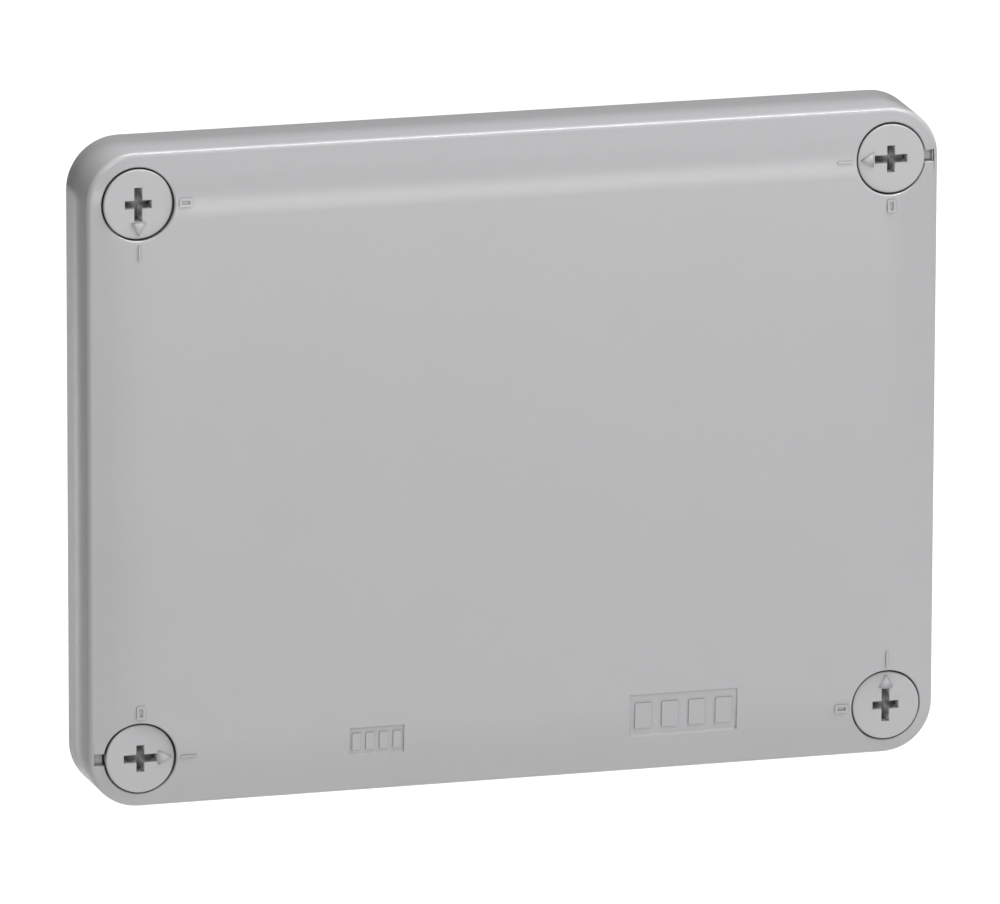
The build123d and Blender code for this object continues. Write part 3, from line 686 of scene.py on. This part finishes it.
def build_lid():
    """The whole lid as one closed mesh."""
    skin = Skin()
    sweep(skin, LID_OUTLINE, EDGE)
    regions = [(moved_in(LID_OUTLINE, EDGE_INSET), front, True)]
    for name, (x, z) in SCREWS.items():
        angle = ARROWS[name]
        bar = rectangle(MARK_NEAR, MARK_FAR, -MARK_HALF, MARK_HALF)
        regions.append((placed(bar, x, z, angle), lambda px, pz: front(px, pz) + MARK_RAISE, True))
        for inset, corner, raised in ((0, RING_CORNER, MARK_RAISE), (RING_WIDE, 0.1, 0.0)):
            half_long = (RING_FAR - MARK_NEAR) / 2 - inset
            ring = rounded_rectangle(half_long, RING_HALF - inset, corner, turns=6)
            ring = [((MARK_NEAR + RING_FAR) / 2 + px, pz) for px, pz in moved_in(ring, 0)]
            ring = placed(ring, x, z, angle + 90)
            regions.append((ring, lambda px, pz, up=raised: front(px, pz) + up, True))
    for name, outward in NOTCHES:
        for end, floor in ((NOTCH_SHELF_END, NOTCH_SHELF), (NOTCH_DEEP_END, NOTCH_FLOOR)):
            regions.append((rectangle(*notch_box(name, outward, 0, end)), level(floor), True))
    for x, z in SCREWS.values():
        regions.append((circle(x, z, COUNTERBORE), level(COUNTERBORE_FLOOR), True))
        regions.append((circle(x, z, BORE), level(BOSS_BACK), False))
    for x, z, wide, high in PANELS:
        def panel(px, pz, up=0.0, middle=z):
            return PANEL_FRONT + (pz - middle) * PANEL_TILT + up

        def sill(px, pz, bottom=z - high / 2, floor=panel):
            share = (pz - bottom) / SILL
            return floor(px, pz) * share + front(px, pz) * (1 - share)

        regions.append((rectangle(x - wide / 2, x + wide / 2, z - high / 2, z + high / 2), panel, True))
        regions.append((rectangle(x - wide / 2, x + wide / 2, z - high / 2, z - high / 2 + SILL), sill, True))
        for number in range(PANEL_BARS):
            middle_x = x + (number - (PANEL_BARS - 1) / 2) * wide / PANEL_BARS
            half_x, half_z = wide / PANEL_BARS * BAR_FILL / 2, high * BAR_FILL / 2
            bar = rectangle(middle_x - half_x, middle_x + half_x, z - half_z, z + half_z)
            regions.append((bar, lambda px, pz, base=panel: base(px, pz, BAR_RAISE), True))
    terraces(skin, regions, front_points())
    # Inside: a stepped pocket with two ribs for the gasket, bosses and stiffeners.
    regions = [(moved_in(LID_OUTLINE, WALL), level(FLOOR_RIM), True)]
    for inset in (RIB_INSETS[0] - RIB, RIB_INSETS[1]):
        regions.append((moved_in(TUB_OUTLINE, inset), level(FLOOR_RIM - RIB_HEIGHT), True))
        regions.append((moved_in(TUB_OUTLINE, inset + RIB), level(FLOOR_RIM), True))
    centre = rounded_rectangle(HALF_WIDE - FLOOR_STEP, HALF_HIGH - FLOOR_STEP, FLOOR_CORNER)
    regions.append((moved_in(centre, 0), level(FLOOR_CENTRE), True))
    for x in STIFFENERS:
        rib = rectangle(x - RIB / 2, x + RIB / 2, FLOOR_STEP - HALF_HIGH, HALF_HIGH - FLOOR_STEP)
        regions.append((rib, level(STIFFENER_BACK), True))
    for x, z in SCREWS.values():
        regions.append((circle(x, z, BOSS), level(BOSS_BACK), True))
        regions.append((circle(x, z, BORE), level(BOSS_BACK), False))
    terraces(skin, regions, ground=EDGE[0][1], flip=True)
    return skin.build("lid_shell", MATERIALS["lid_plastic"])


stand_for(build_lid(), "lid")


# ---------------------------------------------------------------------------------------
# Screws
# ---------------------------------------------------------------------------------------
def recess_floor(x, z):
    """Height of the driver recess's floor, which rises from its centre to the ends of its arms."""
    share = min(1, max(abs(x) - ARM_HALF, abs(z) - ARM_HALF, 0) / (ARM_LONG - ARM_HALF))
    return HEAD_FRONT - RECESS_DEEP + (RECESS_DEEP - RECESS_END_DEEP) * share


def plus(long, short, half):
    """Outline of a plus with its long arms along x, anticlockwise."""
    quarter = [(half, -short), (half, -half), (long, -half), (long, half), (half, half), (half, short)]
    return quarter + [(-x, -z) for x, z in quarter]


def build_screw():
    """One screw about the origin, its arrow towards +x."""
    skin = Skin()
    profile = [
        (0, SHAFT_BACK),
        (SHAFT - SHAFT_STEP, SHAFT_BACK),
        (SHAFT, SHAFT_BACK + SHAFT_STEP),
        (SHAFT, CLIP_GROOVE[0]),
        (SHAFT - SHAFT_STEP, CLIP_GROOVE[0]),
        (SHAFT - SHAFT_STEP, CLIP_GROOVE[1]),
        (SHAFT, CLIP_GROOVE[1]),
        (SHAFT, HEAD_BACK),
        (HEAD - HEAD_CHAMFER, HEAD_BACK),
        (HEAD, HEAD_BACK + HEAD_CHAMFER),
        *arc(HEAD - HEAD_ROUND, HEAD_FRONT - HEAD_ROUND, HEAD_ROUND, 0, 90, 6),
    ]
    lathe(skin, profile)

    ridge = ARROW_RAISE / ARROW_STEEP
    slant = Vector((ARROW_TIP - ARROW_BACK, ARROW_HALF)).normalized()
    side = ARROW_HALF - ridge * (1 + slant.y) / slant.x

    def arrow(x, z):
        inward = min(x - ARROW_BACK, (ARROW_TIP - x) * slant.y - abs(z) * slant.x)
        return HEAD_FRONT + min(ARROW_RAISE, max(0, inward) * ARROW_STEEP)

    def recess(x, z):
        along = min(ARM_LONG - abs(x), ARM_HALF - abs(z))
        across = min(ARM_SHORT - abs(z), ARM_HALF - abs(x))
        return max(recess_floor(x, z), HEAD_FRONT - max(0, along, across) / RECESS_TAPER)

    end = RECESS_END_DEEP * RECESS_TAPER
    regions = [
        (circle(0, 0, HEAD - HEAD_ROUND), level(HEAD_FRONT), True),
        (plus(ARM_LONG, ARM_SHORT, ARM_HALF), recess, True),
        (plus(ARM_LONG - end, ARM_SHORT - end, ARM_HALF - RECESS_DEEP * RECESS_TAPER), recess_floor, True),
        ([(ARROW_BACK, -ARROW_HALF), (ARROW_TIP, 0), (ARROW_BACK, ARROW_HALF)], arrow, True),
    ]
    spare = [(ARROW_BACK + ridge, -side), (ARROW_BACK + ridge, side), (ARROW_TIP - ridge / slant.y, 0)]
    terraces(skin, regions, spare)
    root = SHAFT - LUG_SUNK
    inner, outer = (degrees(asin(LUG_HALF / radius)) for radius in (root, LUG))
    lug = arc(0, 0, LUG, -outer, outer, 12) + arc(0, 0, root, inner, -inner, 12)
    for angle in (0, 180):
        outline = placed(lug, 0, 0, angle)
        terraces(skin, [(outline, level(LUG_FRONT), True)], ground=LUG_BACK)
        terraces(skin, [(outline, level(LUG_BACK), True)], flip=True)
    return skin.build("screw_shell", MATERIALS["screw_plastic"])


first_screw = build_screw()
for number, (node, (x, z)) in enumerate(SCREWS.items()):
    shell = first_screw if number == 0 else add("screw_shell", first_screw.data)
    shell.name = f"{node}_shell"
    turn = Matrix.Rotation(radians(-ARROWS[node]), 4, "Y")
    shell.matrix_world = Matrix.Translation((x * MM, 0, z * MM)) @ turn
    stand_for(shell, node)


# ---------------------------------------------------------------------------------------
# Gasket and grommets
# ---------------------------------------------------------------------------------------
# Section of the gasket, as insets from the tub's outline and heights, with a groove for the rim.
GASKET = [
    (3.45, 61.9),
    (3.45, 61.6),
    (2.4, 61.6),
    (2.4, 62.2),
    (0.6, 62.2),
    (0.6, 61.6),
    (-0.45, 61.6),
    (-0.45, 65.15),
    (3.45, 65.15),
    (3.45, 61.9),
]
# Section of a grommet from the middle of its inside, as radii and distances out of the tub's wall.
GROMMET = [
    (0, 4.8),
    (3.3, 4.8),
    (3.4, 2.7),
    (5.6, 2.7),
    (6.2, 1.1),
    (9.0, 1.1),
    (9.6, -4.6),
    (12.6, -4.6),
    (13.9, -3.05),
    (12.6, -3.05),
    (12.6, 0.05),
    (14.8, 0.05),
    (14.8, 1.6),
    (10.8, 1.6),
    (10.2, 2.3),
    (7.4, 2.3),
    (6.8, 3.9),
    (4.6, 3.9),
    (4.0, 5.5),
    (0, 5.5),
]
OUTWARD = {"left": (-1, 0, 0), "right": (1, 0, 0), "top": (0, 0, 1), "bottom": (0, 0, -1)}

gasket_skin = Skin()
sweep(gasket_skin, TUB_OUTLINE, softened(GASKET, 0.3))
stand_for(gasket_skin.build("gasket_ring", MATERIALS["seal_rubber"]), "lid_gasket")

grommet_skin = Skin()
lathe(grommet_skin, softened(GROMMET, 0.5), 72)
grommet_mesh = None
for node in sorted(name for name in frame["nodes"] if name.startswith("cable_grommet")):
    if grommet_mesh is None:
        grommet = grommet_skin.build("grommet_cone", MATERIALS["grommet_rubber"])
        grommet_mesh = grommet.data
    else:
        grommet = add("grommet_cone", grommet_mesh)
    grommet.name = f"{node}_cone"
    outward = Vector(OUTWARD[node.split("_")[2]])
    low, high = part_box(node)
    tip = (low + high) / 2 + outward * (high - low).dot(Vector(map(abs, outward))) / 2
    turn = Vector((0, -1, 0)).rotation_difference(outward).to_matrix().to_4x4()
    grommet.matrix_world = Matrix.Translation(tip - outward * GROMMET[-1][1] * MM) @ turn
    stand_for(grommet, node)


# ---------------------------------------------------------------------------------------
# Base and inner parts, with their moulded, stamped or turned edges rounded
# ---------------------------------------------------------------------------------------
ROUNDING = {
    "base": 0.3,
    "din_rail": 0.15,
    "rail_screws": 0.12,
    "terminal_housing": 0.25,
    "terminal_end_plate": 0.2,
    "end_stop": 0.3,
    "marker_tags": 0.15,
    "terminal_bar": 0.1,
    "clamp_cage": 0.12,
    "clamp_screw": 0.1,
    "screw_clip": 0.08,
    "lock_claw": 0.08,
}
for node in sorted(frame["nodes"]):
    for start, width in ROUNDING.items():
        if node.startswith(start):
            stand_for(rounded_copy(node, width), node)


# ---------------------------------------------------------------------------------------
# Stage
# ---------------------------------------------------------------------------------------
FLOOR_LEVEL = -0.4
FLOOR_REACH = 8.0
WORLD_STRENGTH = 0.06
LENS = 484.4
CAMERA_PLACE = (-0.89616, -3.21816, 0.83061)
CAMERA_RIGHT = Vector((0.962361, -0.271759, 0.002953))
CAMERA_UP = Vector((0.063956, 0.237014, 0.969399))


def make_floor():
    """A pale floor, far enough below the box that it catches no shadow in view."""
    mesh = bpy.data.meshes.new("floor")
    outline = rectangle(-FLOOR_REACH, FLOOR_REACH, -FLOOR_REACH, FLOOR_REACH)
    mesh.from_pydata([(x, y, FLOOR_LEVEL) for x, y in outline], [], [(0, 1, 2, 3)])
    paint = surface("floor_paint", (0.86, 0.86, 0.86), 0.8, mottle=0.002, grain=400, relief=0.0)
    mesh.materials.append(paint)
    return add("floor", mesh)


def hang(lamp, place, target):
    """Put a lamp in the scene at a place, turned to a target."""
    holder = bpy.data.objects.new(lamp.name, lamp)
    holder.location = place
    holder.rotation_euler = (Vector(target) - Vector(place)).to_track_quat("-Z", "Y").to_euler()
    bpy.context.scene.collection.objects.link(holder)
    return holder


def area_light(name, place, target, size, watts):
    """A softbox at a place, turned to a target."""
    lamp = bpy.data.lights.new(name, "AREA")
    lamp.shape = "RECTANGLE"
    lamp.size, lamp.size_y = size
    lamp.energy = watts
    return hang(lamp, place, target)


def spot_light(name, place, target, cone, watts):
    """A soft-edged spot at a place, turned to a target, with a cone in degrees."""
    lamp = bpy.data.lights.new(name, "SPOT")
    lamp.spot_size = radians(cone)
    lamp.spot_blend = 0.15
    lamp.shadow_soft_size = 0.2
    lamp.energy = watts
    return hang(lamp, place, target)


lights = [
    area_light("strip", (0.45, -0.3, 1.6), (0, 0, 0), (0.3, 2.2), 34),
    area_light("top", (-0.2, -0.5, 1.8), (0, 0, 0), (1.8, 1.0), 1.5),
    area_light("key", (-0.8, -2.2, 1.5), (0, 0, 0), (1.2, 1.2), 18),
    area_light("front_low", (0.3, -2.4, -0.25), (0, 0, 0), (2.0, 0.3), 9),
    area_light("back", (2.0, 2.0, 0.3), (0, 0, 0), (1.2, 1.2), 6),
    spot_light("backdrop", (0.45, 1.9, 2.5), (0.45, 1.65, -0.4), 35, 345),
]
make_floor()

world = bpy.data.worlds.new("studio")
world.use_nodes = True
world.node_tree.nodes["Background"].inputs["Color"].default_value = (1, 1, 1, 1)
world.node_tree.nodes["Background"].inputs["Strength"].default_value = WORLD_STRENGTH
bpy.context.scene.world = world

camera_data = bpy.data.cameras.new("camera")
camera_data.sensor_width = 36
camera_data.lens = LENS
camera_data.clip_end = 50
camera = bpy.data.objects.new("camera", camera_data)
turned = Matrix((CAMERA_RIGHT, CAMERA_UP, CAMERA_RIGHT.cross(CAMERA_UP))).transposed().to_4x4()
camera.matrix_world = Matrix.Translation(CAMERA_PLACE) @ turned
bpy.context.scene.collection.objects.link(camera)
bpy.context.scene.camera = camera
bpy.context.scene.view_settings.view_transform = "Standard"
